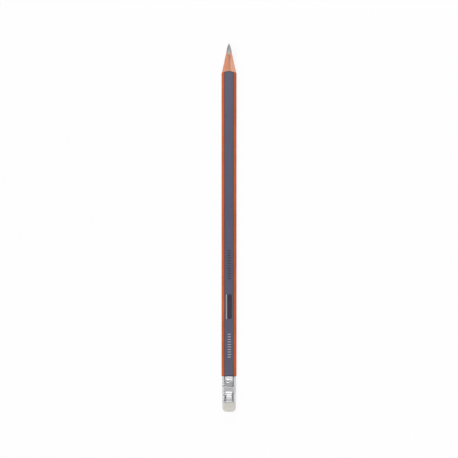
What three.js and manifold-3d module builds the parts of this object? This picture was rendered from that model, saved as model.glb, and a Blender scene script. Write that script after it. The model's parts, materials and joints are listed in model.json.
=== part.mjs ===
// A three-sided lacquered pencil with a crimped ferrule and an eraser, lying on one flat.
// Millimetres, +Z up. The pencil lies along Y with its point towards +Y.
import * as THREE from "three";
import { mergeVertices } from "three/addons/utils/BufferGeometryUtils.js";
import Module from "manifold-3d";

const wasm = await Module();
wasm.setup();

// Overall sizes. Stations along the pencil are counted from the point of the lead.
const LENGTH = 190;
const FLAT_WIDTH = 5.16; // one flat of the finished barrel, between the tangents of its edges
const CORNER_RADIUS = 1.28; // finished edge between two flats

// Sharpened point: a soft three-sided pyramid that flares where its faces meet the flats.
const SHARPENED_LENGTH = 14.75; // point to where the cut faces meet the flats
const TIP_APOTHEM = 0.54; // axis to the cut faces at the point, before it is blunted
const POINT_SLOPE = 0.1415; // rise of the cut faces for each millimetre, before they flare
const FLARE_LENGTH = 5.75; // last stretch of the cut, which curves out to the flats
const POINT_CORNER_RADIUS = 1.5; // edge of the cut where its faces meet the flats
const POINT_TIP_RADIUS = 0.5; // edge of the cut at the point, where it is nearly round
const NOSE_RADIUS = 0.34; // worn tip of the lead
const NOSE_TURN = 70; // degrees of round on the tip, before it runs on straight

// Lead and wooden casing.
const LEAD_DIAMETER = 2.75;
const LEAD_CLEARANCE = 0.03;
const GLUE_THICKNESS = 0.06;
const GLUE_CLEARANCE = 0.02;

// Lacquer: one coat all round, with a second colour built up on the three edges.
const LACQUER_THICKNESS = 0.06;
const EDGE_BUILD = 0.2; // depth of the second colour on the middle of an edge
const FILM_CLEARANCE = 0.02;

// Ferrule: two ribbed grips with a plain band between them and a rolled rim.
const FERRULE_WALL = 0.25;
const FERRULE_CORNER_RADIUS = 1.36; // its edges are rounder than the barrel's
const FERRULE_INSET = 0.02; // its crests stay this far inside the barrel's flats
const LIP_LENGTH = 0.35;
const LIP_INSET = 0.12;
const RIB_COUNT = 5;
const RIB_PITCH = 1.0;
const GROOVE_WIDTH = 0.5;
const GROOVE_DEPTH = 0.12;
const BAND_LENGTH = 2.4;
const BAND_RAMP = 0.3;
const BAND_INSET = 0.08;
const BAND_CROWN = 3; // degrees that the band's faces turn on each side of their middle
const WAIST_DEPTH = 0.03; // the eraser grip is drawn in by this much at mid length
const WAIST_CROWN = 4; // degrees that its faces turn there, because its edges are pinched
const RIM_LENGTH = 0.65;
const RIM_INSET = 0.05;
const SEAT_CLEARANCE = 0.05; // between the ferrule and what it holds

// Punch marks that lock the ferrule on the wood and on the eraser.
const PUNCH_RADIUS = 0.9;
const PUNCH_DEPTH = 0.2;
const WOOD_PUNCH_RIB = 2; // the groove, counted from the barrel, that carries the wood punches
const ERASER_PUNCH_RIB = 2;

// Eraser.
const ERASER_EXPOSED = 5.2;
const ERASER_STEP = 0.1; // the exposed block stands in from the ferrule's bore
const ERASER_ROUND = 1.4; // how far its end is rounded in from its flats
const ERASER_ROUND_LENGTH = 2.5; // and how far along

// Smoothness of round stretches.
const CORNER_STEPS = 12;
const RING_CORNER_STEPS = 8;
const RING_SIDE_STEPS = 2;
const ROUND_STEPS = 48;
const FLARE_STEPS = 9;
const NOSE_STEPS = 4;
const NOSE_SIDES = 18;
const END_STEPS = 6;
const PUNCH_STEPS = 14;
const LEAST_CROWN = 0.05; // degrees, so that a plain face still has a finite radius
const MERGE_DISTANCE = 1e-5;
const OVERRUN = 1; // how far a cutter runs past what it cuts

// Worked out from the sizes above.
const APOTHEM = FLAT_WIDTH / (2 * Math.sqrt(3)) + CORNER_RADIUS; // axis to a finished flat
const CORNER_REACH = 2 * APOTHEM - CORNER_RADIUS; // axis to a finished edge
const FERRULE_REACH = 2 * APOTHEM - FERRULE_CORNER_RADIUS - FERRULE_INSET; // axis to the ferrule's edges
const GRIP_LENGTH = RIB_COUNT * RIB_PITCH;
const FERRULE_LENGTH = LIP_LENGTH + GRIP_LENGTH + BAND_LENGTH + GRIP_LENGTH + RIM_LENGTH;
const FERRULE_END = LENGTH - ERASER_EXPOSED;
const FERRULE_START = FERRULE_END - FERRULE_LENGTH;
const BARREL_END = FERRULE_START - SEAT_CLEARANCE;
const TENON_END = FERRULE_START + LIP_LENGTH + GRIP_LENGTH; // the casing fills the wood grip
const BORE_INSET = FERRULE_INSET + FERRULE_WALL;
const PLUG_INSET = BORE_INSET + GROOVE_DEPTH + SEAT_CLEARANCE;
const COAT_RADIUS = CORNER_RADIUS + EDGE_BUILD; // edge of the first coat, under the second colour

// Flats face 30, 150 and 270 degrees in the section, and edges point to 90, 210 and 330.
const FLAT_ANGLES = [30, 150, 270].map(THREE.MathUtils.degToRad);
const EDGE_ANGLES = [90, 210, 330].map(THREE.MathUtils.degToRad);
const EDGE_HALF_TURN = Math.PI / 3;
const SEAM_ANGLE = FLAT_ANGLES[0]; // the glued joint of the casing leaves through this flat

// Solids from three.js geometry, and back.
function solid(geometry) {
  const bare = new THREE.BufferGeometry();
  bare.setAttribute("position", geometry.getAttribute("position"));
  bare.setIndex(geometry.getIndex());
  const merged = mergeVertices(bare, MERGE_DISTANCE);
  const vertProperties = new Float32Array(merged.attributes.position.array);
  const triVerts = new Uint32Array(merged.index.array);
  return new wasm.Manifold(new wasm.Mesh({ numProp: 3, vertProperties, triVerts }));
}

function geometryOf(manifold) {
  const mesh = manifold.getMesh();
  const geometry = new THREE.BufferGeometry();
  geometry.setAttribute("position", new THREE.BufferAttribute(mesh.vertProperties, 3));
  geometry.setIndex(new THREE.BufferAttribute(mesh.triVerts, 1));
  const flat = geometry.toNonIndexed();
  flat.computeVertexNormals();
  return flat;
}

// Rounded triangle about the axis, as an outline to extrude.
function roundedTriangle(apothem, cornerRadius) {
  const outline = new THREE.Shape();
  const reach = 2 * (apothem - cornerRadius);
  for (const angle of EDGE_ANGLES) {
    outline.absarc(
      reach * Math.cos(angle),
      reach * Math.sin(angle),
      cornerRadius,
      angle - EDGE_HALF_TURN,
      angle + EDGE_HALF_TURN,
    );
  }
  return outline;
}

function prism(outline, from, to) {
  const geometry = new THREE.ExtrudeGeometry(outline, {
    depth: to - from,
    bevelEnabled: false,
    curveSegments: CORNER_STEPS,
  });
  return solid(geometry.translate(0, 0, from));
}

// The finished barrel's outline, moved in by a distance.
const barrelOutline = (inset) => roundedTriangle(APOTHEM - inset, CORNER_RADIUS - inset);

// The first coat's outline, with rounder edges than the finished barrel.
const coatOutline = (inset) => roundedTriangle(APOTHEM - inset, COAT_RADIUS - inset);

// The outline that the ferrule follows, on the wood that it holds.
const ferruleOutline = (inset) => roundedTriangle(APOTHEM - inset, FERRULE_CORNER_RADIUS - inset);

// Ring of points round the ferrule or the eraser. Its faces may be crowned, with arcs that run on smoothly.
function ring(station, inset, crownDegrees) {
  const crown = THREE.MathUtils.degToRad(Math.max(crownDegrees, LEAST_CROWN));
  const apothem = APOTHEM - inset;
  const edge = FERRULE_CORNER_RADIUS - inset;
  const share = Math.cos(crown) - Math.sin(crown) / Math.sqrt(3);
  const face = (apothem - share * edge) / (1 - share);
  const reach = ((face - edge) * Math.sin(crown)) / Math.sin(EDGE_HALF_TURN);
  const points = [];
  const arc = (middle, offset, radius, halfTurn, steps) => {
    for (let i = 0; i < steps; i++) {
      const turn = middle + halfTurn * ((2 * i) / steps - 1);
      const x = offset * Math.cos(middle) + radius * Math.cos(turn);
      const y = offset * Math.sin(middle) + radius * Math.sin(turn);
      points.push(new THREE.Vector3(x, y, station));
    }
  };
  FLAT_ANGLES.forEach((flat, i) => {
    arc(flat, apothem - face, face, crown, RING_SIDE_STEPS);
    arc(EDGE_ANGLES[i], reach, edge, EDGE_HALF_TURN - crown, RING_CORNER_STEPS);
  });
  return points;
}

// Closed solid through a run of rings that all have the same number of points.
function loft(rings) {
  const count = rings[0].length;
  const points = rings.flat();
  const triangles = [];
  for (let row = 0; row + 1 < rings.length; row++) {
    for (let i = 0; i < count; i++) {
      const a = row * count + i;
      const b = row * count + ((i + 1) % count);
      triangles.push(a, b, b + count, a, b + count, a + count);
    }
  }
  const centre = (station) => new THREE.Vector3(0, 0, station[0].z);
  const first = points.push(centre(rings[0])) - 1;
  const last = points.push(centre(rings.at(-1))) - 1;
  const lastRow = (rings.length - 1) * count;
  for (let i = 0; i < count; i++) {
    const next = (i + 1) % count;
    triangles.push(first, next, i);
    triangles.push(last, lastRow + i, lastRow + next);
  }
  const geometry = new THREE.BufferGeometry().setFromPoints(points);
  geometry.setIndex(triangles);
  return solid(geometry);
}

// Cutter that keeps everything inside the sharpened point. Its edges get rounder towards the tip.
function pointEnvelope() {
  const flareStart = SHARPENED_LENGTH - FLARE_LENGTH;
  const flareRise = APOTHEM - TIP_APOTHEM - POINT_SLOPE * SHARPENED_LENGTH;
  const section = (station) => {
    const flare = Math.max(0, station - flareStart) / FLARE_LENGTH;
    const apothem = TIP_APOTHEM + POINT_SLOPE * station + flareRise * flare ** 2;
    const share = station / SHARPENED_LENGTH;
    const edge = THREE.MathUtils.lerp(POINT_TIP_RADIUS, POINT_CORNER_RADIUS, share);
    const points = roundedTriangle(apothem, edge).getPoints(CORNER_STEPS);
    return points.map((p) => new THREE.Vector3(p.x, p.y, station));
  };
  const far = SHARPENED_LENGTH + FLARE_LENGTH / 2;
  const sections = [section(-NOSE_RADIUS / 2)];
  for (let i = 0; i <= FLARE_STEPS; i++) {
    sections.push(section(THREE.MathUtils.lerp(flareStart, far, i / FLARE_STEPS)));
  }
  return loft(sections).add(prism(barrelOutline(-EDGE_BUILD), far - EDGE_BUILD, LENGTH));
}

// Cutter that rounds the tip of the lead and widens again behind it.
function noseEnvelope() {
  const noseTurn = THREE.MathUtils.degToRad(NOSE_TURN);
  const profile = [];
  for (let i = 0; i <= NOSE_STEPS; i++) {
    const turn = (i / NOSE_STEPS) * noseTurn;
    profile.push(new THREE.Vector2(NOSE_RADIUS * Math.sin(turn), NOSE_RADIUS * (1 - Math.cos(turn))));
  }
  const edge = profile.at(-1);
  const flare = edge.y + (LEAD_DIAMETER - edge.x) * Math.tan(noseTurn);
  profile.push(new THREE.Vector2(LEAD_DIAMETER, flare));
  profile.push(new THREE.Vector2(LEAD_DIAMETER, LENGTH));
  profile.push(new THREE.Vector2(0, LENGTH));
  return solid(new THREE.LatheGeometry(profile, NOSE_SIDES).rotateX(Math.PI / 2));
}

function cylinder(radius, from, to) {
  const geometry = new THREE.CylinderGeometry(radius, radius, to - from, ROUND_STEPS);
  geometry.rotateX(Math.PI / 2);
  geometry.translate(0, 0, (from + to) / 2);
  return solid(geometry);
}

// Slab that lies along the seam of the casing, between two distances from it.
function seamSlab(from, to) {
  const reach = 2 * CORNER_REACH;
  const geometry = new THREE.BoxGeometry(2 * reach, to - from, 2 * LENGTH);
  geometry.translate(0, (from + to) / 2, LENGTH / 2);
  geometry.rotateZ(SEAM_ANGLE);
  return solid(geometry);
}

// Ferrule stations: how far along, how far in, and how much the faces are crowned.
function ferruleStations() {
  const stations = [];
  const add = (along, inset, crown = 0) => stations.push({ along, inset: FERRULE_INSET + inset, crown });
  const grip = (start, waistDepth, waistCrown) => {
    const waist = (along) => Math.sin((Math.PI * (along - start)) / GRIP_LENGTH);
    const addRib = (along, depth) => add(along, depth + waistDepth * waist(along), waistCrown * waist(along));
    for (let i = 0; i < RIB_COUNT; i++) {
      const groove = start + (i + 0.5) * RIB_PITCH;
      addRib(groove - GROOVE_WIDTH / 2, 0);
      addRib(groove, GROOVE_DEPTH);
      addRib(groove + GROOVE_WIDTH / 2, 0);
    }
  };
  const band = LIP_LENGTH + GRIP_LENGTH;
  const eraserGrip = band + BAND_LENGTH;
  add(0, LIP_INSET);
  add(LIP_LENGTH, 0);
  grip(LIP_LENGTH, 0, 0);
  add(band + BAND_RAMP / 2, GROOVE_DEPTH);
  add(band + BAND_RAMP, BAND_INSET, BAND_CROWN);
  add(eraserGrip - BAND_RAMP, BAND_INSET, BAND_CROWN);
  add(eraserGrip - BAND_RAMP / 2, GROOVE_DEPTH);
  grip(eraserGrip, WAIST_DEPTH, WAIST_CROWN);
  add(FERRULE_LENGTH - RIM_LENGTH, GROOVE_DEPTH);
  add(FERRULE_LENGTH - RIM_LENGTH / 2, 0);
  add(FERRULE_LENGTH, RIM_INSET);
  return stations;
}

function ferruleBody(extraInset, overrun) {
  const stations = ferruleStations();
  const rings = stations.map((s) => ring(FERRULE_START + s.along, s.inset + extraInset, s.crown));
  if (overrun > 0) {
    const ends = [stations[0], stations.at(-1)];
    rings.unshift(ring(FERRULE_START - overrun, ends[0].inset + extraInset, ends[0].crown));
    rings.push(ring(FERRULE_END + overrun, ends[1].inset + extraInset, ends[1].crown));
  }
  return loft(rings);
}

// Balls that press the ferrule in at the middle of each flat or edge.
function punches(angles, reach, station, grow) {
  return angles.map((angle) => {
    const radius = PUNCH_RADIUS + grow;
    const distance = reach - PUNCH_DEPTH + PUNCH_RADIUS;
    const geometry = new THREE.SphereGeometry(radius, PUNCH_STEPS, PUNCH_STEPS);
    geometry.translate(distance * Math.cos(angle), distance * Math.sin(angle), station);
    return solid(geometry);
  });
}

const WOOD_PUNCH_STATION = FERRULE_START + LIP_LENGTH + (WOOD_PUNCH_RIB + 0.5) * RIB_PITCH;
const ERASER_PUNCH_STATION =
  FERRULE_END - RIM_LENGTH - GRIP_LENGTH + (ERASER_PUNCH_RIB + 0.5) * RIB_PITCH;
const woodPunches = (grow) =>
  punches(FLAT_ANGLES, APOTHEM - FERRULE_INSET - GROOVE_DEPTH, WOOD_PUNCH_STATION, grow);
const eraserPunches = (grow) =>
  punches(EDGE_ANGLES, FERRULE_REACH - GROOVE_DEPTH - WAIST_DEPTH, ERASER_PUNCH_STATION, grow);

// Lead, casing and glue.
const envelope = pointEnvelope();
const lead = cylinder(LEAD_DIAMETER / 2, 0, TENON_END).intersect(envelope).intersect(noseEnvelope());

function casingBlank() {
  const barrel = prism(coatOutline(LACQUER_THICKNESS + FILM_CLEARANCE), 0, BARREL_END);
  const tenon = prism(ferruleOutline(PLUG_INSET), BARREL_END - GRIP_LENGTH, TENON_END);
  const bore = cylinder(LEAD_DIAMETER / 2 + LEAD_CLEARANCE, -OVERRUN, LENGTH);
  let blank = barrel.add(tenon).intersect(envelope).subtract(bore);
  for (const punch of woodPunches(FERRULE_WALL + SEAT_CLEARANCE)) {
    blank = blank.subtract(punch);
  }
  return blank;
}

const casing = casingBlank();
const halfGlue = GLUE_THICKNESS / 2;
const halfJoint = halfGlue + GLUE_CLEARANCE;
const slatUpper = casing.intersect(seamSlab(halfJoint, 2 * CORNER_REACH));
const slatLower = casing.intersect(seamSlab(-2 * CORNER_REACH, -halfJoint));

// The lead parts the glue into a strip under a flat and a strip under the opposite edge.
function glueStrips() {
  const towardFlat = new THREE.Vector3(Math.cos(SEAM_ANGLE), Math.sin(SEAM_ANGLE), 0);
  const strips = casing.intersect(seamSlab(-halfGlue, halfGlue)).decompose();
  const side = (strip) => {
    const box = strip.boundingBox();
    const middle = new THREE.Vector3().fromArray(box.min).add(new THREE.Vector3().fromArray(box.max));
    return middle.dot(towardFlat);
  };
  return strips.sort((a, b) => side(b) - side(a));
}
const [glueFlat, glueEdge] = glueStrips();

// Lacquer: a hollow coat, and the second colour that fills its rounder edges out.
const coat = prism(coatOutline(0), 0, BARREL_END)
  .subtract(prism(coatOutline(LACQUER_THICKNESS), -OVERRUN, LENGTH))
  .intersect(envelope);

function edgeStripes() {
  const stripes = prism(barrelOutline(0), 0, BARREL_END)
    .subtract(prism(coatOutline(-FILM_CLEARANCE), -OVERRUN, LENGTH))
    .intersect(envelope)
    .decompose();
  const height = (stripe) => stripe.boundingBox().max[1];
  const across = (stripe) => stripe.boundingBox().max[0];
  const [top, ...low] = stripes.sort((a, b) => height(b) - height(a));
  const [right, left] = low.sort((a, b) => across(b) - across(a));
  return { top, left, right };
}
const stripes = edgeStripes();

// Ferrule: a formed shell with punched dimples.
function ferruleShell() {
  const outside = ferruleBody(0, 0);
  const inside = ferruleBody(FERRULE_WALL, OVERRUN);
  let shell = outside.subtract(inside);
  const dimples = (grow) => [...woodPunches(grow), ...eraserPunches(grow)];
  for (const bump of dimples(FERRULE_WALL)) {
    shell = shell.add(bump.intersect(outside));
  }
  for (const dimple of dimples(0)) {
    shell = shell.subtract(dimple);
  }
  return shell;
}

// Eraser: a plug inside the ferrule and an exposed block with a rounded end.
function eraserBlock() {
  const plugInset = PLUG_INSET + WAIST_DEPTH;
  const blockInset = BORE_INSET + RIM_INSET + ERASER_STEP;
  const rings = [
    ring(TENON_END + SEAT_CLEARANCE, plugInset, WAIST_CROWN),
    ring(FERRULE_END - RIM_LENGTH, plugInset, WAIST_CROWN),
    ring(FERRULE_END, blockInset, 0),
  ];
  for (let i = 0; i <= END_STEPS; i++) {
    const turn = (i / END_STEPS) * (Math.PI / 2);
    const station = LENGTH - ERASER_ROUND_LENGTH * (1 - Math.sin(turn));
    const scale = 1 - (ERASER_ROUND * (1 - Math.cos(turn))) / (APOTHEM - blockInset);
    const shrink = new THREE.Vector3(scale, scale, 1);
    rings.push(ring(station, blockInset, 0).map((point) => point.multiply(shrink)));
  }
  let block = loft(rings);
  for (const punch of eraserPunches(FERRULE_WALL + SEAT_CLEARANCE)) {
    block = block.subtract(punch);
  }
  return block;
}

// Scene graph: the pencil is built along its axis, then laid down on a flat.
const finish = {
  lead: { color: 0x8f8c8a, roughness: 0.4, metalness: 0.3 },
  wood: { color: 0xd9987a, roughness: 0.7, metalness: 0 },
  glue: { color: 0x9c5f3f, roughness: 0.6, metalness: 0 },
  coat: { color: 0x5a5a69, roughness: 0.35, metalness: 0.2 },
  edge: { color: 0xbf5226, roughness: 0.35, metalness: 0 },
  ferrule: { color: 0xc6c6c8, roughness: 0.25, metalness: 1 },
  eraser: { color: 0xcbc8c1, roughness: 0.9, metalness: 0 },
};

const pencil = new THREE.Group();
pencil.rotation.x = Math.PI / 2;
pencil.position.set(0, LENGTH / 2, APOTHEM);

function place(name, manifold, look) {
  const mesh = new THREE.Mesh(geometryOf(manifold), new THREE.MeshStandardMaterial(look));
  mesh.name = name;
  pencil.add(mesh);
}

place("graphite_lead", lead, finish.lead);
place("wood_slat_upper", slatUpper, finish.wood);
place("wood_slat_lower", slatLower, finish.wood);
place("glue_line_flat", glueFlat, finish.glue);
place("glue_line_edge", glueEdge, finish.glue);
place("lacquer_coat", coat, finish.coat);
place("edge_stripe_top", stripes.top, finish.edge);
place("edge_stripe_left", stripes.left, finish.edge);
place("edge_stripe_right", stripes.right, finish.edge);
place("ferrule", ferruleShell(), finish.ferrule);
place("eraser", eraserBlock(), finish.eraser);

const part = new THREE.Group();
part.add(pencil);

export default part;
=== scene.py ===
"""Dresses a three-sided pencil: lacquer, sharpened wood, lead, crimped ferrule, eraser and foil marks."""
import json
import math

import bmesh
import bpy
from bpy.props import FloatProperty, FloatVectorProperty, IntProperty, PointerProperty
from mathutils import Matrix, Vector

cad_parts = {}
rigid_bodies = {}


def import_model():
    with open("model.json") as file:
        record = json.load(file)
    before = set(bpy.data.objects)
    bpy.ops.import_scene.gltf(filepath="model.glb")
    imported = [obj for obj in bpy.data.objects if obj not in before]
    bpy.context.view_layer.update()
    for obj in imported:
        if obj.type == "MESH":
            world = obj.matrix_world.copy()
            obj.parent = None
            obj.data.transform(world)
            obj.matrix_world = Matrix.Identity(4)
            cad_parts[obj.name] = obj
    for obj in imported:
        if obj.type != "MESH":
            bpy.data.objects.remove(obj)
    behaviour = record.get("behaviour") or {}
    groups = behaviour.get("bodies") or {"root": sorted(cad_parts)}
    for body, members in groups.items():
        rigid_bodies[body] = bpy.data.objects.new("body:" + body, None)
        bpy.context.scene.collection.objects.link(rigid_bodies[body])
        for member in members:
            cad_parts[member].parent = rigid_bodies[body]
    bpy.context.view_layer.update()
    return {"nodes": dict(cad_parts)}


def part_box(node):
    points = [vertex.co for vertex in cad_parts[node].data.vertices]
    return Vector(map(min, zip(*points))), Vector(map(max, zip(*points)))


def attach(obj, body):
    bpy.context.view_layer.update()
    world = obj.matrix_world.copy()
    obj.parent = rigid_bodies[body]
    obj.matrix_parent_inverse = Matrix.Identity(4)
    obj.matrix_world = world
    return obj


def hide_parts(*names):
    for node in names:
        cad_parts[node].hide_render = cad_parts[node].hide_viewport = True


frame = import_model()

bl_info = {
    "name": "Triangular pencil",
    "version": (1, 0, 0),
    "blender": (4, 5, 0),
    "location": "3D View > Sidebar > Pencil",
    "description": "Models and finishes a three-sided pencil round its packed frame",
    "category": "Add Mesh",
}

MM = 0.001
BODY = "root"
MERGE_DISTANCE = 0.002 * MM  # for spun loops and cuts
NODE_MERGE_DISTANCE = 0.001 * MM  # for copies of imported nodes
COPY_SMOOTH = 12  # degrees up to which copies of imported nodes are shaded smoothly
STRIP_COUNT = 4  # cuts through a flat on each side of its middle
STRIP_WIDTH = 0.5 * MM
CUT_ZONE = 1.5 * MM  # stretch beside the lacquer's cut edge that bows with it
CUT_FADE = 0.3 * MM  # how far beyond the cut edge the bow starts to fade out in the wood
CUT_REACH = 1.24  # half widths of a flat from its middle to where the cut edge lies furthest back
LEAD_ZONE = 2.5 * MM  # stretch of the wood at the lead that bows with its end
BORDER_WIDTH = 0.3 * MM
BORDER_SHARE = 0.6  # how much of the border colour shows where grey and orange meet
FERRULE_SHADE_FADE = (0.25 * MM, 0.45 * MM)  # where the painted shade on the coat's end at the ferrule fades out

# Flats and edges of the section, as angles in the XZ plane about the pencil's axis.
FLAT_ANGLES = [math.radians(a) for a in (30, 270, 150)]
EDGE_ANGLES = [math.radians(a) for a in (90, 330, 210)]


def outward(angle):
    """The direction away from the pencil's axis at an angle of its section."""
    return Vector((math.cos(angle), 0, math.sin(angle)))


def sideways(angle):
    """The direction across a flat that faces an angle of the section."""
    return Vector((math.sin(angle), 0, -math.cos(angle)))


FACE = outward(FLAT_ANGLES[0])
ACROSS = sideways(FLAT_ANGLES[0])
ALONG = Vector((0, 1, 0))


def linear(code):
    """A screen colour written as six hexadecimal digits, in linear light."""
    channels = [int(code[i:i + 2], 16) / 255 for i in (0, 2, 4)]
    return tuple(c / 12.92 if c <= 0.04045 else ((c + 0.055) / 1.055) ** 2.4 for c in channels)


def size_value(name, millimetres, description):
    return FloatProperty(
        name=name, description=description, default=millimetres * MM, precision=6,
        subtype="DISTANCE", unit="LENGTH",
    )


def colour_value(name, code, description):
    return FloatVectorProperty(
        name=name, description=description, default=linear(code), size=3, min=0, max=1, subtype="COLOR",
    )


class PencilSizes(bpy.types.PropertyGroup):
    """Sizes that a user would change."""

    flat_width: size_value("Flat width", 5.16, "One flat between the tangents of its rounded edges")
    corner_radius: size_value("Corner radius", 1.28, "Rounded edge between two flats")
    lead_radius: size_value("Lead radius", 1.375, "Radius of the lead")
    stripe_lap: size_value("Stripe lap", 0.2, "How far an orange edge laps on to a flat")
    cut_set_back: size_value("Cut set-back", 0.1, "How far the lacquer's cut edge lies back on the flats")
    cut_bow: size_value("Cut bow", 0.42, "How much further back the cut edge lies on the edges")
    lead_bow: size_value("Lead bow", 0.45, "How far the wood's end at the lead lies back on the edges")
    ferrule_radius: size_value("Ferrule corner radius", 1.36, "Rounded edge of the ferrule")
    ferrule_inset: size_value("Ferrule inset", 0.03, "How far the ferrule's crests lie inside the flats")
    ferrule_wall: size_value("Ferrule wall", 0.2, "Thickness of the ferrule's metal")
    lip_length: size_value("Lip length", 0.5, "Turned-in edge at the barrel end of the ferrule")
    lip_inset: size_value("Lip inset", 0.14, "How far the lip is turned in")
    rim_inset: size_value("Rim inset", 0.06, "How far the rim at the eraser is turned in")
    rib_pitch: size_value("Rib pitch", 1.0, "Distance between neighbouring ribs")
    groove_depth: size_value("Groove depth", 0.065, "Depth of the grooves between the ribs")
    band_length: size_value("Band length", 2.3, "Plain band between the two ribbed grips")
    band_inset: size_value("Band inset", 0.06, "How far the plain band leans in towards the barrel")
    waist_depth: size_value("Waist depth", 0.045, "How far a grip is drawn in at mid length")
    waist_pinch: size_value("Waist pinch", 0.05, "How far the eraser grip's edges are pinched in beyond that")
    grip_taper: size_value("Grip taper", 0.1, "How far the eraser grip narrows towards the eraser")
    rim_length: size_value("Rim length", 0.65, "Rolled rim at the eraser")
    punch_radius: size_value("Punch radius", 0.75, "Radius of a punch mark on the wood grip")
    punch_slant: size_value("Punch slant", 0.4, "How far towards the eraser a punch mark is deepest")
    punch_depth: size_value("Punch depth", 0.24, "Depth of one punch mark")
    punch_offset: size_value("Punch offset", 0.6, "How far the wood punches lie beside the middle of a flat")
    dimple_radius: size_value("Dimple radius", 0.6, "Spread of one dimple beside an edge")
    dimple_depth: size_value("Dimple depth", 0.26, "Depth of one dimple beside an edge")
    eraser_inset: size_value("Eraser inset", 0.45, "How far the eraser lies inside the flats at the rim")
    eraser_squeeze: size_value("Eraser squeeze", 0.05, "How much further in the ribs squeeze the eraser")
    eraser_swell: size_value("Eraser swell", 0.06, "How far the eraser swells out beyond the ferrule")
    eraser_round: size_value("Eraser rounding", 1.3, "How far the eraser's end is rounded in from its flats")
    eraser_round_length: size_value("Eraser rounding length", 2.5, "How far along its end is rounded")
    eraser_dome: size_value("Eraser dome", 0.12, "How far the middle of the eraser's end swells")
    frame_width: size_value("Frame width", 236.4, "Width that the camera takes in at the pencil")
    face_crown: FloatProperty(
        name="Face crown", description="Turn of the ferrule's faces on each side of their middle",
        default=math.radians(3.2), subtype="ANGLE", unit="ROTATION",
    )
    eraser_crown: FloatProperty(
        name="Eraser crown", description="Turn of the eraser's faces on each side of their middle",
        default=math.radians(2), subtype="ANGLE", unit="ROTATION",
    )
    rib_count: IntProperty(name="Ribs", description="Ribs on each grip of the ferrule", default=5, min=1)


class PencilColours(bpy.types.PropertyGroup):
    """Colours that a user would change."""

    grey: colour_value("Grey lacquer", "545469", "The flats")
    grey_flake: colour_value("Grey flake", "6e718e", "Bright flakes in the grey lacquer")
    orange: colour_value("Orange lacquer", "ce5c14", "The edges")
    orange_deep: colour_value("Deep orange", "ba4e0a", "Thicker patches of the orange lacquer")
    wood: colour_value("Wood", "d69170", "Early wood of the slats")
    wood_late: colour_value("Late wood", "c98262", "Darker growth lines of the slats")
    wood_second: colour_value("Second slat", "e0a48b", "Early wood of the other slat")
    glue: colour_value("Glue", "a05820", "Glue line between the slats")
    lead: colour_value("Lead", "b4b2b0", "The sharpened lead")
    lead_dark: colour_value("Dark lead", "62605f", "Scratches in the lead")
    metal: colour_value("Ferrule", "d9d9db", "Bright metal of the ferrule and the foil")
    # The cut-edge colour is also mixed in as painted shade on the coat's end at the ferrule and on the slats'
    # shoulders there.
    cut_edge_and_shade: colour_value("Cut lacquer", "35282d", "The lacquer's cut edge at the sharpened wood")
    # A darker line drawn where an orange edge meets a flat.
    border: colour_value("Stripe border", "35190c", "Thin lacquer where an orange edge meets a flat")
    panel: colour_value("Dark foil", "3a3440", "Dark foil on the viewed flat")
    eraser: colour_value("Eraser", "d3d0c9", "The eraser")
    eraser_dust: colour_value("Eraser dust", "c6c2b9", "Slight dirt on the eraser")


def sizes():
    return bpy.context.scene.pencil_sizes


def colours():
    return bpy.context.scene.pencil_colours


def apothem():
    """Distance from the pencil's axis to a flat."""
    return sizes().flat_width / (2 * math.sqrt(3)) + sizes().corner_radius


def axis_point(y=0.0):
    return Vector((0, y, apothem()))


# Shader expressions.
class Wire:
    """A shader socket that takes part in Python expressions."""

    def __init__(self, tree, socket=None):
        self.tree = tree
        self.socket = socket

    def node(self, kind, settings=None, inputs=None, output=0):
        """Adds a node, sets it, joins its sockets and gives one output back."""
        node = self.tree.nodes.new(kind)
        for name, value in (settings or {}).items():
            setattr(node, name, value)
        for name, value in (inputs or {}).items():
            if isinstance(value, Wire):
                self.tree.links.new(value.socket, node.inputs[name])
            else:
                node.inputs[name].default_value = value
        return Wire(self.tree, node.outputs[output])

    def maths(self, operation, first, second=0.0):
        return self.node("ShaderNodeMath", {"operation": operation}, {0: first, 1: second})

    def __add__(self, other):
        return self.maths("ADD", self, other)

    __radd__ = __add__

    def __sub__(self, other):
        return self.maths("SUBTRACT", self, other)

    def __rsub__(self, other):
        return self.maths("SUBTRACT", other, self)

    def __mul__(self, other):
        return self.maths("MULTIPLY", self, other)

    def step(self, low, high):
        """Zero below low, one above high, and smooth between them."""
        return self.node(
            "ShaderNodeMapRange", {"interpolation_type": "SMOOTHSTEP"},
            {"Value": self, "From Min": low, "From Max": high},
        )

    def mix(self, factor, first, second):
        """A colour between two others."""
        def colour(value):
            return value if isinstance(value, Wire) else (*value, 1)

        return self.node(
            "ShaderNodeMix", {"data_type": "RGBA", "clamp_factor": True},
            {0: factor, 6: colour(first), 7: colour(second)}, output=2,
        )

    def mapped(self, scale):
        """Object coordinates, stretched."""
        place = self.node("ShaderNodeTexCoord", output="Object")
        return self.node("ShaderNodeMapping", inputs={"Vector": place, "Scale": scale})

    def noise(self, scale, detail, roughness=0.5):
        """Noise whose grains repeat so many times a metre along each axis."""
        return self.node(
            "ShaderNodeTexNoise",
            inputs={"Vector": self.mapped(scale), "Scale": 1.0, "Detail": detail, "Roughness": roughness},
        )

    def bump(self, height, distance, strength):
        return self.node(
            "ShaderNodeBump", inputs={"Height": height, "Distance": distance, "Strength": strength},
        )


def new_finish(name):
    """A material with a bare Principled shader, and the wire that adds nodes to it."""
    material = bpy.data.materials.new(name)
    material.use_nodes = True
    return material, Wire(material.node_tree), material.node_tree.nodes["Principled BSDF"]


def feed(wire, shader, **inputs):
    """Joins wires to a shader's sockets, or sets plain numbers on them."""
    for name, value in inputs.items():
        socket = shader.inputs[name.replace("_", " ").title().replace("Ior", "IOR")]
        if isinstance(value, Wire):
            wire.tree.links.new(value.socket, socket)
        else:
            socket.default_value = value


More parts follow.
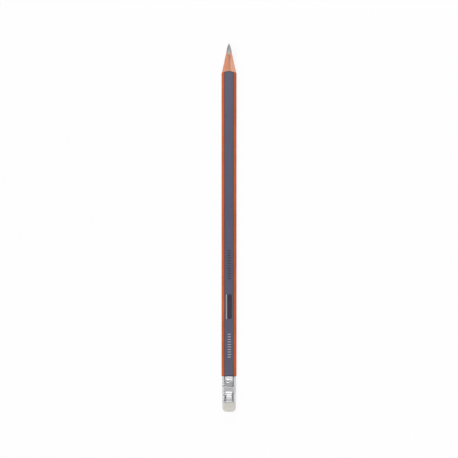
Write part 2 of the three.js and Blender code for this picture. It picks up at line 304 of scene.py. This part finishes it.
def place_parts(wire):
    """The object coordinates of a point, one by one."""
    parts = wire.node("ShaderNodeSeparateXYZ", inputs={0: wire.node("ShaderNodeTexCoord", output="Object")})
    return [Wire(wire.tree, socket) for socket in parts.socket.node.outputs]


def along_place(wire):
    """Where a point lies along the pencil."""
    return place_parts(wire)[1]


def axis_distance(wire):
    """Distance of a point from the pencil's axis."""
    x, _, z = place_parts(wire)
    upwards = z - apothem()
    return wire.maths("SQRT", x * x + upwards * upwards)


def seam_distance(wire):
    """Distance of a point from the plane of the glued seam."""
    x, _, z = place_parts(wire)
    return wire.maths("ABSOLUTE", x * ACROSS.x + (z - apothem()) * ACROSS.z)


def grey_lacquer():
    material, wire, shader = new_finish("grey_lacquer")
    flake = wire.node(
        "ShaderNodeTexVoronoi", output="Color",
        inputs={"Vector": wire.mapped((9000, 9000, 9000)), "Scale": 1.0},
    )
    sparkle = wire.node("ShaderNodeSeparateColor", inputs={"Color": flake}).step(0.55, 1.0)
    cloud = wire.noise((260, 60, 260), 3)
    base = wire.mix(sparkle * 0.35 + cloud * 0.2, colours().grey, colours().grey_flake)
    half = sizes().flat_width / 2 - sizes().stripe_lap
    inner, outer = math.hypot(apothem(), half - BORDER_WIDTH), math.hypot(apothem(), half)
    # A darker line along the grey where it meets an orange edge.
    base = wire.mix(axis_distance(wire).step(inner, outer) * BORDER_SHARE, base, colours().border)
    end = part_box("lacquer_coat")[0].y
    # Painted shade: the coat darkens towards its end at the ferrule, standing in for the shadow where it
    # meets the ferrule's lip.
    ferrule_shade = 1 - along_place(wire).step(end + FERRULE_SHADE_FADE[0], end + FERRULE_SHADE_FADE[1])
    base = wire.mix(ferrule_shade * 0.85, base, colours().cut_edge_and_shade)
    peel = wire.noise((1500, 700, 1500), 2)
    feed(
        wire, shader, base_color=base, metallic=0.3, roughness=0.33 + cloud * 0.12, coat_weight=0.5,
        coat_roughness=0.22, normal=wire.bump(peel, 0.02 * MM, 0.35),
    )
    return material


def cut_lacquer():
    material, wire, shader = new_finish("cut_lacquer")
    chips = wire.noise((3200, 3200, 3200), 3)
    base = wire.mix(chips.step(0.4, 0.7) * 0.5, colours().cut_edge_and_shade, colours().grey)
    feed(wire, shader, base_color=base, roughness=0.6 + chips * 0.2, normal=wire.bump(chips, 0.02 * MM, 0.5))
    return material


def dark_foil():
    material, wire, shader = new_finish("dark_foil")
    cloud = wire.noise((1500, 400, 1500), 3)
    base = wire.mix(cloud.step(0.4, 0.7) * 0.35, colours().panel, colours().grey)
    feed(wire, shader, base_color=base, metallic=0.3, roughness=0.35 + cloud * 0.15)
    return material


def orange_lacquer():
    material, wire, shader = new_finish("orange_lacquer")
    cloud = wire.noise((420, 50, 420), 3)
    base = wire.mix(cloud.step(0.4, 0.75), colours().orange, colours().orange_deep)
    inner = math.hypot(apothem(), sizes().flat_width / 2 - sizes().stripe_lap)
    # A darker line along the orange where it laps on to a flat.
    border_mask = 1 - axis_distance(wire).step(inner, inner + sizes().stripe_lap)
    base = wire.mix(border_mask * BORDER_SHARE, base, colours().border)
    peel = wire.noise((1400, 500, 1400), 2)
    feed(
        wire, shader, base_color=base, roughness=0.5 + cloud * 0.15, coat_weight=0.05, coat_roughness=0.2,
        specular_ior_level=0.4, normal=wire.bump(peel, 0.03 * MM, 0.4),
    )
    return material


def slat_wood(name, early, stained):
    """Sharpened wood, with a strip beside the seam where the glue has soaked in."""
    material, wire, shader = new_finish(name)
    growth = wire.noise((1600, 45, 1600), 4, 0.55)
    pores = wire.noise((5200, 260, 5200), 3, 0.6)
    lines = growth.step(0.42, 0.68)
    base = wire.mix(lines * 0.55, early, colours().wood_late)
    base = wire.mix(pores.step(0.56, 0.74) * 0.35, base, colours().glue)
    stain = 1 - seam_distance(wire).step(0.6 * stained, stained)
    base = wire.mix(stain * (0.3 + lines * 0.2), base, colours().glue)
    lead = sizes().lead_radius
    patches = wire.noise((2400, 900, 2400), 3)
    smudge = (1 - axis_distance(wire).step(lead, lead * 1.15)) * patches.step(0.15, 0.6)
    base = wire.mix(smudge * 0.6, base, colours().lead_dark)
    cuts = wire.noise((700, 7000, 700), 2)
    rough = pores * 0.5 + cuts * 0.5
    feed(
        wire, shader, base_color=base, roughness=0.62 + lines * 0.12,
        normal=wire.bump(rough, 0.03 * MM, 0.5),
    )
    return material


def wood_glue():
    material, wire, shader = new_finish("wood_glue")
    cloud = wire.noise((3000, 300, 3000), 3)
    base = wire.mix(cloud.step(0.35, 0.7) * 0.4, colours().glue, colours().wood_late)
    feed(wire, shader, base_color=base, roughness=0.55 + cloud * 0.2)
    return material


def graphite():
    material, wire, shader = new_finish("graphite")
    scratches = wire.noise((900, 9000, 900), 3, 0.6)
    grain = wire.noise((7000, 7000, 7000), 3)
    base = wire.mix(scratches.step(0.5, 0.75) * 0.6 + grain * 0.2, colours().lead, colours().lead_dark)
    feed(
        wire, shader, base_color=base, metallic=0.7, roughness=0.2 + grain * 0.14,
        normal=wire.bump(scratches * 0.7 + grain * 0.3, 0.03 * MM, 0.5),
    )
    return material


def bright_metal(name, roughness, satin=(0, 0), fade=0.1 * MM):
    """Drawn aluminium with fine lines round it and a few scuffs, and satin between two places along it."""
    material, wire, shader = new_finish(name)
    turned = wire.noise((300, 16000, 300), 3, 0.6)
    scuffs = wire.noise((2600, 240, 2600), 4, 0.65)
    base = wire.mix(scuffs.step(0.58, 0.78) * 0.25, colours().metal, colours().lead)
    low, high = satin
    along = along_place(wire)
    band = along.step(low - fade, low + fade) * (1 - along.step(high - fade, high + fade))
    feed(
        wire, shader, base_color=base, metallic=1.0,
        roughness=roughness + turned * 0.06 + scuffs * 0.05 + band * 0.4,
        normal=wire.bump(turned, 0.002 * MM, 0.2),
    )
    return material


def eraser_rubber():
    material, wire, shader = new_finish("eraser_rubber")
    dust = wire.noise((900, 700, 900), 4, 0.6)
    specks = wire.noise((5200, 5200, 5200), 2)
    dirt = dust.step(0.45, 0.8) * 0.5 + specks.step(0.62, 0.75) * 0.25
    base = wire.mix(dirt, colours().eraser, colours().eraser_dust)
    feed(
        wire, shader, base_color=base, roughness=0.82 + dust * 0.1,
        normal=wire.bump(specks * 0.6 + dust * 0.4, 0.05 * MM, 0.5),
    )
    return material


# Modelling by hand.
def deselect():
    if bpy.context.mode != "OBJECT":
        bpy.ops.object.mode_set(mode="OBJECT")
    bpy.ops.object.select_all(action="DESELECT")


def choose(piece, test):
    """Selects the vertices of a piece in edit mode that pass a test of their place."""
    mesh = bmesh.from_edit_mesh(piece.data)
    for vertex in mesh.verts:
        vertex.select = test(vertex.co)
    mesh.select_flush_mode()
    bmesh.update_edit_mesh(piece.data)


def rounded_triangle(name, y, inset, radius, crown, corner_steps, face_steps):
    """A loop with crowned faces and rounded edges round the pencil's axis, left selected in edit mode."""
    apex = apothem() - inset
    share = math.cos(crown) - math.sin(crown) / math.sqrt(3)
    face_radius = (apex - share * radius) / (1 - share)
    reach = (face_radius - radius) * math.sin(crown) / math.sin(math.pi / 3)

    def point(angle, distance):
        return axis_point(y) + distance * outward(angle)

    deselect()
    first = EDGE_ANGLES[0] + math.pi / 3 - crown
    bpy.ops.mesh.primitive_plane_add(size=radius)
    piece = bpy.context.object
    piece.name = name
    bpy.ops.object.mode_set(mode="EDIT")
    bpy.ops.mesh.select_mode(type="VERT")
    bpy.ops.mesh.merge(type="CENTER")
    start = point(EDGE_ANGLES[0], reach) + radius * outward(first)
    bpy.ops.transform.translate(value=start)
    for edge, face in zip(EDGE_ANGLES, FLAT_ANGLES):
        arcs = ((point(edge, reach), 2 * math.pi / 3 - 2 * crown, corner_steps),
                (point(face, apex - face_radius), 2 * crown, face_steps))
        for centre, turn, steps in arcs:
            bpy.ops.mesh.spin(steps=steps, angle=turn, center=centre, axis=-ALONG)
    bpy.ops.mesh.select_all(action="SELECT")
    bpy.ops.mesh.remove_doubles(threshold=MERGE_DISTANCE)
    return piece


def pull(stations):
    """Extrudes the selected loop through (y, inset) stations, shrinking it about the axis at each."""
    y, now = stations[0]
    for next_y, following in stations[1:]:
        bpy.ops.mesh.extrude_region_move(TRANSFORM_OT_translate={"value": (0, next_y - y, 0)})
        share = (apothem() - following) / (apothem() - now)
        bpy.ops.transform.resize(value=(share, 1, share), center_override=axis_point(next_y))
        y, now = next_y, following


def press(piece, depth, share, direction="NORMAL"):
    """Presses a piece in along its normals or an axis, by a share of a depth that depends on the place."""
    group = piece.vertex_groups.new(name="press")
    for vertex in piece.data.vertices:
        weight = share(vertex.co)
        if weight > 0:
            group.add([vertex.index], min(weight, 1), "REPLACE")
    pressing = piece.modifiers.new("press", "DISPLACE")
    pressing.direction = direction
    pressing.mid_level = 0
    pressing.strength = -depth
    pressing.vertex_group = group.name
    bpy.ops.object.modifier_apply(modifier=pressing.name)
    piece.vertex_groups.clear()


def lay(piece, material, test):
    """Gives another finish to the faces of a piece whose middle and normal pass a test."""
    piece.data.materials.append(material)
    index = len(piece.data.materials) - 1
    for face in piece.data.polygons:
        if test(face.center, face.normal):
            face.material_index = index


def off_middle(place):
    """How far a place lies to one side of the middle of the flat that it is nearest to."""
    offset = place - axis_point()
    angle = max(FLAT_ANGLES, key=lambda a: offset.x * math.cos(a) + offset.z * math.sin(a))
    return offset.x * math.sin(angle) - offset.z * math.cos(angle)


def finish_piece(piece, material, smooth, replaced=()):
    """Leaves edit mode, shades the piece smoothly up to an angle, gives it its finish and lets it ride."""
    deselect()
    piece.select_set(True)
    bpy.context.view_layer.objects.active = piece
    bpy.ops.object.shade_smooth_by_angle(angle=math.radians(smooth))
    piece.data.materials.clear()
    piece.data.materials.append(material)
    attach(piece, BODY)
    if replaced:
        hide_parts(*replaced)
    piece.select_set(False)


def smooth_copy(node, name):
    """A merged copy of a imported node, to be shaded smoothly."""
    deselect()
    source = frame["nodes"][node]
    source.select_set(True)
    bpy.context.view_layer.objects.active = source
    bpy.ops.object.duplicate()
    piece = bpy.context.object
    piece.name = name
    bpy.ops.object.parent_clear(type="CLEAR_KEEP_TRANSFORM")
    for key in list(piece.keys()):
        del piece[key]
    bpy.ops.object.mode_set(mode="EDIT")
    bpy.ops.mesh.select_all(action="SELECT")
    bpy.ops.mesh.remove_doubles(threshold=NODE_MERGE_DISTANCE)
    bpy.ops.object.mode_set(mode="OBJECT")
    return piece


def slice_piece(piece, cuts):
    """Cuts the faces of a piece along planes, each given by a point and a normal."""
    deselect()
    piece.select_set(True)
    bpy.context.view_layer.objects.active = piece
    bpy.ops.object.mode_set(mode="EDIT")
    for place, normal in cuts:
        bpy.ops.mesh.select_all(action="SELECT")
        bpy.ops.mesh.bisect(plane_co=place, plane_no=normal, threshold=MERGE_DISTANCE)
    bpy.ops.object.mode_set(mode="OBJECT")


def slice_flats(piece):
    """Cuts a piece lengthways into strips, so that the edges of its cut faces can bow."""
    normals = [sideways(angle) for angle in FLAT_ANGLES]
    steps = [i * STRIP_WIDTH for i in range(-STRIP_COUNT, STRIP_COUNT + 1)]
    slice_piece(piece, [(axis_point() + normal * step, normal) for normal in normals for step in steps])


def bow(piece):
    """Sets back the cut edges of the point: more on the pencil's edges than in the middle of its flats."""
    s = sizes()
    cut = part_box("lacquer_coat")[1].y
    wood_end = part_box("wood_slat_upper")[1].y
    cut_reach = CUT_REACH * s.flat_width / 2
    lead_reach = s.lead_radius * math.cos(math.pi / 6)

    def rise(place, reach):
        return math.sin(0.5 * math.pi * min(1, abs(off_middle(place)) / reach)) ** 2

    def share(place):
        if place.y > wood_end - LEAD_ZONE:
            return s.lead_bow * rise(place, lead_reach) / MM
        if place.y < cut - CUT_ZONE:
            return 0
        fade = 1 - max(0, min(1, (place.y - cut - CUT_FADE) / CUT_ZONE))
        return fade * (s.cut_set_back + s.cut_bow * rise(place, cut_reach)) / MM

    press(piece, MM, share, "Y")


class PencilCasing(bpy.types.Operator):
    """Lead, slats and glue lines, with the sharpened point"""

    bl_idname = "pencil.casing"
    bl_label = "Casing and lead"

    glue_spread = 0.03 * MM
    upper_stain = 0.2 * MM
    lower_stain = 1.1 * MM
    shoulder_zone = 0.1 * MM

    def execute(self, context):
        upper = slat_wood("slat_wood_upper", colours().wood, self.upper_stain)
        lower = slat_wood("slat_wood_lower", colours().wood_second, self.lower_stain)
        glue = wood_glue()
        looks = [
            ("graphite_lead", "lead", graphite(), "graphite"),
            ("wood_slat_upper", "slat_upper", upper, "cedar_wood"),
            ("wood_slat_lower", "slat_lower", lower, "cedar_wood"),
            ("glue_line_flat", "seam_flat", glue, "wood_glue"),
            ("glue_line_edge", "seam_edge", glue, "wood_glue"),
        ]
        dark = cut_lacquer()
        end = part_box("ferrule")[1].y

        def shoulder(centre, normal):
            return normal.y < -0.5 and centre.y > end - self.shoulder_zone

        for node, name, material, slot in looks:
            piece = smooth_copy(node, name)
            if slot == "cedar_wood":
                slice_flats(piece)
            if slot != "graphite":
                bow(piece)
            if material == glue:
                press(piece, -self.glue_spread, lambda place: float(place.y > 0))
            finish_piece(piece, material, COPY_SMOOTH, [node])
            if slot == "cedar_wood":
                # Painted shade: the slats' shoulders at the ferrule get the dark cut-lacquer finish, standing
                # in for the shadow in the gap under the ferrule's lip.
                lay(piece, dark, shoulder)
        return {"FINISHED"}


class PencilLacquer(bpy.types.Operator):
    """Grey coat and the orange colour on the edges"""

    bl_idname = "pencil.lacquer"
    bl_label = "Lacquer"

    def execute(self, context):
        orange = orange_lacquer()
        coat = smooth_copy("lacquer_coat", "coat")
        slice_flats(coat)
        bow(coat)
        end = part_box("lacquer_coat")[1].y - CUT_ZONE
        slice_piece(coat, [(axis_point(end), ALONG)])
        finish_piece(coat, grey_lacquer(), COPY_SMOOTH, ["lacquer_coat"])
        half = sizes().flat_width / 2 - sizes().stripe_lap

        def cut(centre, normal):
            return normal.y > 0.05 and centre.y > 0

        def under_stripe(centre, normal):
            return centre.y > end and abs(off_middle(centre)) > half

        lay(coat, cut_lacquer(), cut)
        lay(coat, orange, under_stripe)
        for side in ("top", "left", "right"):
            node = "edge_stripe_" + side
            stripe = smooth_copy(node, "edge_" + side)
            bow(stripe)
            finish_piece(stripe, orange, COPY_SMOOTH, [node])
        return {"FINISHED"}


class PencilFerrule(bpy.types.Operator):
    """Crimped metal sleeve with ribs, a plain band and punch marks"""

    bl_idname = "pencil.ferrule"
    bl_label = "Ferrule"

    corner_steps = 24
    face_steps = 40
    row_step = 0.1 * MM
    row_clearance = 0.03 * MM
    barrel_side = math.radians(16)
    eraser_side = math.radians(27)
    dimple_turn = math.radians(38)
    dimple_shift = 0.1 * MM
    roughness = 0.045
    smooth = 14

    def stations(self, start, end):
        """Rows of the sleeve from the barrel to the eraser, with a row at each fold of its grooves."""
        s = sizes()
        length = start - end
        grip = s.rib_count * s.rib_pitch
        band = s.lip_length + grip
        waist = band + s.band_length
        rim = length - s.rim_length
        grooves = [s.lip_length + (i + 0.5) * s.rib_pitch for i in range(s.rib_count)]
        grooves += [band, waist]
        grooves += [rim - i * s.rib_pitch for i in range(s.rib_count)]
        falling = s.groove_depth / math.tan(self.barrel_side)
        rising = s.groove_depth / math.tan(self.eraser_side)

        def groove(along):
            shares = ((m - along) / falling if along < m else (along - m) / rising for m in grooves)
            return s.groove_depth * max(0, 1 - min(shares))

        def inset(along):
            if along < s.lip_length:
                return s.lip_inset * (1 - along / s.lip_length) ** 3
            if along < band:
                return s.waist_depth * math.sin(math.pi * (along - s.lip_length) / grip)
            if along < waist:
                return s.band_inset * (waist - along) / s.band_length
            share = min(1, (along - waist) / (rim - waist))
            roll = max(0, 2 * (along - rim) / s.rim_length - 1)
            return s.grip_taper * share + s.waist_depth * math.sin(math.pi * share) + s.rim_inset * roll ** 2

        folds = [m + shift for m in grooves for shift in (-falling, 0, rising)]
        count = round(length / self.row_step)
        rows = [length * i / count for i in range(count + 1)]
        rows = [row for row in rows if min(abs(row - fold) for fold in folds) > self.row_clearance]
        return [(start - row, s.ferrule_inset + inset(row) + groove(row)) for row in sorted(rows + folds)]

    def pinch(self, piece, end):
        """Pinches the edges of the eraser grip at mid length, so that its faces narrow there."""
        s = sizes()
        grip = s.rib_count * s.rib_pitch

        def share(place):
            along = (place.y - end - s.rim_length) / grip
            offset = place - axis_point(place.y)
            turn = math.atan2(offset.z, offset.x) - EDGE_ANGLES[0]
            rise = math.sin(math.pi * along) if 0 < along < 1 else 0
            return rise * ((1 + math.cos(3 * turn)) / 2) ** 3

        press(piece, s.waist_pinch, share)

    def punch(self, piece, start, end):
        """Slanted round marks on the wood grip, and dimples beside the edges of the eraser grip."""
        s = sizes()
        grip = s.rib_count * s.rib_pitch
        wood = start - s.lip_length - grip / 2
        waist = end + s.rim_length + grip / 2 - self.dimple_shift
        reach = 2 * (apothem() - s.ferrule_inset - s.ferrule_radius)

        def beside(edge, turn):
            """A place on the rounded edge, turned away from its crest."""
            return axis_point(waist) + reach * outward(edge) + s.ferrule_radius * outward(edge + turn)

        turns = (self.dimple_turn, -self.dimple_turn)
        dimples = [beside(edge, turn) for edge in EDGE_ANGLES for turn in turns]

        def mark(place):
            across, along = off_middle(place) + s.punch_offset, place.y - wood
            spread = s.punch_radius ** 2 - s.punch_slant ** 2
            ahead = s.punch_slant * along
            return 1 - (math.sqrt(ahead ** 2 + (across ** 2 + along ** 2) * spread) - ahead) / spread

        def dimple(place):
            nearest = min((place - middle).length for middle in dimples)
            return max(0, 1 - (nearest / s.dimple_radius) ** 2) ** 2

        press(piece, s.punch_depth, mark)
        press(piece, s.dimple_depth, dimple)

    def execute(self, context):
        s = sizes()
        low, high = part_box("ferrule")
        stations = self.stations(high.y, low.y)
        piece = rounded_triangle(
            "sleeve", high.y, stations[0][1], s.ferrule_radius, s.face_crown,
            self.corner_steps, self.face_steps,
        )
        pull(stations)
        bpy.ops.mesh.select_all(action="SELECT")
        bpy.ops.mesh.normals_make_consistent(inside=False)
        bpy.ops.object.mode_set(mode="OBJECT")
        self.pinch(piece, low.y)
        self.punch(piece, high.y, low.y)
        wall = piece.modifiers.new("wall", "SOLIDIFY")
        wall.thickness = s.ferrule_wall
        wall.offset = -1
        bpy.ops.object.modifier_apply(modifier=wall.name)
        band = high.y - s.lip_length - s.rib_count * s.rib_pitch
        metal = bright_metal("ferrule_metal", self.roughness, (band - s.band_length, band))
        finish_piece(piece, metal, self.smooth, ["ferrule"])
        return {"FINISHED"}


class PencilEraser(bpy.types.Operator):
    """Eraser with a rounded end"""

    bl_idname = "pencil.eraser"
    bl_label = "Eraser"

    corner_steps = 24
    face_steps = 16
    side_steps = 14
    round_steps = 12
    cap_steps = 8
    smooth = 50

    def execute(self, context):
        s = sizes()
        low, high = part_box("eraser")
        end = low.y + s.eraser_dome
        shoulder = low.y + s.eraser_round_length
        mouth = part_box("ferrule")[0].y
        squeezed = s.eraser_inset + s.eraser_squeeze
        stations = [(high.y, squeezed), (mouth + s.rim_length, squeezed)]
        for i in range(self.side_steps + 1):
            share = i / self.side_steps
            swell = s.eraser_swell * math.sin(0.5 * math.pi * min(1, 2 * share))
            stations.append((mouth + (shoulder - mouth) * share, s.eraser_inset - swell))
        for i in range(1, self.round_steps + 1):
            turn = 0.5 * math.pi * i / self.round_steps
            stations.append((
                shoulder + (end - shoulder) * math.sin(turn),
                s.eraser_inset - s.eraser_swell + s.eraser_round * (1 - math.cos(turn)),
            ))
        rim = stations[-1][1]
        for i in range(1, self.cap_steps):
            share = i / self.cap_steps
            dome = s.eraser_dome * (1 - (1 - share) ** 2)
            stations.append((end - dome, rim + share * (apothem() - rim)))
        piece = rounded_triangle(
            "eraser_block", high.y, squeezed, s.ferrule_radius - squeezed, s.eraser_crown,
            self.corner_steps, self.face_steps,
        )
        pull(stations)
        bpy.ops.mesh.merge(type="CENTER")
        choose(piece, lambda place: place.y > high.y - MERGE_DISTANCE)
        bpy.ops.mesh.edge_face_add()
        bpy.ops.mesh.select_all(action="SELECT")
        bpy.ops.mesh.normals_make_consistent(inside=False)
        finish_piece(piece, eraser_rubber(), self.smooth, ["eraser"])
        return {"FINISHED"}


class PencilMarks(bpy.types.Operator):
    """Plain foil marks on the viewed flat: dark ticks, a dark panel with a bright line, and bright ticks"""

    bl_idname = "pencil.marks"
    bl_label = "Foil marks"

    sunk = 0.005 * MM
    proud = 0.012 * MM
    corner_share = 0.3
    corner_segments = 4
    foil_roughness = 0.28
    smooth = 20

    def row(self, name, material, slot, place, size, step=0.0, count=1):
        """A plate with rounded corners, repeated along the flat and laid on it, in millimetres."""
        across, along = (value * MM for value in place)
        width, length = (value * MM for value in size)
        deselect()
        bpy.ops.mesh.primitive_plane_add(size=1)
        piece = bpy.context.object
        piece.name = name
        bpy.ops.object.mode_set(mode="EDIT")
        bpy.ops.transform.resize(value=(width, length, 1))
        corner = self.corner_share * min(width, length)
        bpy.ops.mesh.bevel(offset=corner, segments=self.corner_segments, affect="VERTICES")
        bpy.ops.mesh.extrude_region_move(TRANSFORM_OT_translate={"value": (0, 0, self.sunk + self.proud)})
        bpy.ops.mesh.select_all(action="SELECT")
        bpy.ops.mesh.normals_make_consistent(inside=False)
        for i in range(1, count):
            bpy.ops.mesh.duplicate_move(TRANSFORM_OT_translate={"value": (0, -step * MM, 0)})
        bpy.ops.object.mode_set(mode="OBJECT")
        piece.rotation_euler = (0, math.pi / 2 - FLAT_ANGLES[0], 0)
        piece.location = axis_point(along) + ACROSS * across + FACE * (apothem() - self.sunk)
        bpy.ops.object.transform_apply(location=True, rotation=True, scale=True)
        finish_piece(piece, material, self.smooth)

    def execute(self, context):
        bright = bright_metal("bright_foil", self.foil_roughness)
        dark = dark_foil()
        self.row("dark_ticks", dark, "grey_lacquer", (0.1, -11.8), (1.9, 0.5), step=1.3, count=12)
        self.row("dark_panel", dark, "grey_lacquer", (0.25, -40.6), (2.4, 12.6))
        self.row("bright_line", bright, "ferrule_metal", (-1.3, -40.6), (0.45, 12.6))
        self.row("bright_ticks", bright, "ferrule_metal", (0.15, -54.8), (1.7, 0.35), step=1.3, count=10)
        return {"FINISHED"}


def lamp(name, place, target, size, energy):
    """A soft lamp aimed at a point. Its size is given along the pencil and across it."""
    bpy.ops.object.light_add(type="AREA", location=place)
    light = bpy.context.object
    light.name = name
    light.data.shape = "RECTANGLE"
    light.data.size, light.data.size_y = size
    light.data.energy = energy
    light.rotation_euler = (Vector(target) - Vector(place)).to_track_quat("-Z", "Y").to_euler()


class PencilStage(bpy.types.Operator):
    """Pale floor, soft lamps and the camera"""

    bl_idname = "pencil.stage"
    bl_label = "Stage"

    lens = 100.0
    sensor = 36.0
    eraser_shift = 0.7 * MM
    floor_size = 60
    floor_drop = 0.02 * MM
    white_share = 0.88
    mirrored_share = 0.64
    world_strength = 0.18
    strip_height = 0.75
    strip_width = 0.157
    front_length = 0.37
    end_length = 0.315

    def floor(self):
        deselect()
        bpy.ops.mesh.primitive_plane_add(size=self.floor_size, location=(0, 0, -self.floor_drop))
        floor = bpy.context.object
        floor.name = "floor"
        bpy.ops.object.transform_apply(location=True, rotation=True, scale=True)
        material = bpy.data.materials.new("floor_paper")
        material.use_nodes = True
        tree = material.node_tree
        tree.nodes.clear()
        wire = Wire(tree)
        path = wire.node("ShaderNodeLightPath", output="Is Camera Ray")
        rays = path.socket.node.outputs
        seen = wire.maths("MAXIMUM", path, Wire(tree, rays["Is Glossy Ray"]) * self.mirrored_share)
        seen = wire.maths("MAXIMUM", seen, Wire(tree, rays["Is Transmission Ray"]))
        paper = wire.node("ShaderNodeBsdfDiffuse", inputs={"Color": (0.95, 0.95, 0.95, 1)})
        white = wire.node("ShaderNodeEmission", inputs={"Color": (1, 1, 1, 1), "Strength": 1.0})
        mixed = wire.node("ShaderNodeMixShader", inputs={0: seen * self.white_share, 1: paper, 2: white})
        tree.links.new(mixed.socket, tree.nodes.new("ShaderNodeOutputMaterial").inputs["Surface"])
        floor.data.materials.append(material)

    def lamps(self):
        world = bpy.data.worlds.new("studio")
        world.use_nodes = True
        background = world.node_tree.nodes["Background"].inputs
        background["Color"].default_value = (1, 1, 1, 1)
        background["Strength"].default_value = self.world_strength
        bpy.context.scene.world = world
        barrel = FACE * 0.01
        strip = FACE * self.strip_height
        lamp("overhead", place=(-0.4, 0, 1.1), target=(0, 0, 0), size=(1.45, 2.4), energy=13.2)
        lamp("front_strip", strip, barrel, (self.front_length, self.strip_width), energy=0.092)
        for name, side, box_energy, strip_energy in (
            ("tip", ALONG, 12.5, 0.4),
            ("eraser", -ALONG, 9.5, 0.24),
        ):
            lamp(name + "_box", FACE * 0.35 + side * 1.1, barrel, (0.8, 1.0), box_energy)
            shift = side * (self.front_length + self.end_length) / 2
            lamp(name + "_strip", strip + shift, shift, (self.end_length, self.strip_width), strip_energy)

    def camera(self):
        target = axis_point(-self.eraser_shift)
        place = target + FACE * (sizes().frame_width * self.lens / self.sensor)
        bpy.ops.object.camera_add(location=place)
        camera = bpy.context.object
        camera.name = "photo_camera"
        camera.data.lens = self.lens
        camera.data.sensor_width = self.sensor
        camera.data.clip_end = 50
        matrix = camera.matrix_world.copy()
        for i in range(3):
            matrix[i][0] = ACROSS[i]
            matrix[i][1] = ALONG[i]
            matrix[i][2] = FACE[i]
            matrix[i][3] = place[i]
        camera.matrix_world = matrix
        bpy.context.scene.camera = camera

    def execute(self, context):
        context.scene.view_settings.view_transform = "Standard"
        self.floor()
        self.lamps()
        self.camera()
        return {"FINISHED"}


class PencilPanel(bpy.types.Panel):
    """Lists the pencil's operators, sizes and colours"""

    bl_idname = "VIEW3D_PT_pencil"
    bl_label = "Pencil"
    bl_space_type = "VIEW_3D"
    bl_region_type = "UI"
    bl_category = "Pencil"

    def draw(self, context):
        for operator in OPERATORS:
            self.layout.operator(operator.bl_idname)
        for group in (context.scene.pencil_sizes, context.scene.pencil_colours):
            for name in group.__annotations__:
                self.layout.prop(group, name)


OPERATORS = (PencilCasing, PencilLacquer, PencilMarks, PencilFerrule, PencilEraser, PencilStage)
CLASSES = (PencilSizes, PencilColours, *OPERATORS, PencilPanel)


def register():
    for item in CLASSES:
        bpy.utils.register_class(item)
    bpy.types.Scene.pencil_sizes = PointerProperty(type=PencilSizes)
    bpy.types.Scene.pencil_colours = PointerProperty(type=PencilColours)


def unregister():
    del bpy.types.Scene.pencil_colours
    del bpy.types.Scene.pencil_sizes
    for item in reversed(CLASSES):
        bpy.utils.unregister_class(item)


def main():
    register()
    bpy.ops.pencil.casing()
    bpy.ops.pencil.lacquer()
    bpy.ops.pencil.marks()
    bpy.ops.pencil.ferrule()
    bpy.ops.pencil.eraser()
    bpy.ops.pencil.stage()


if __name__ == "__main__":
    main()
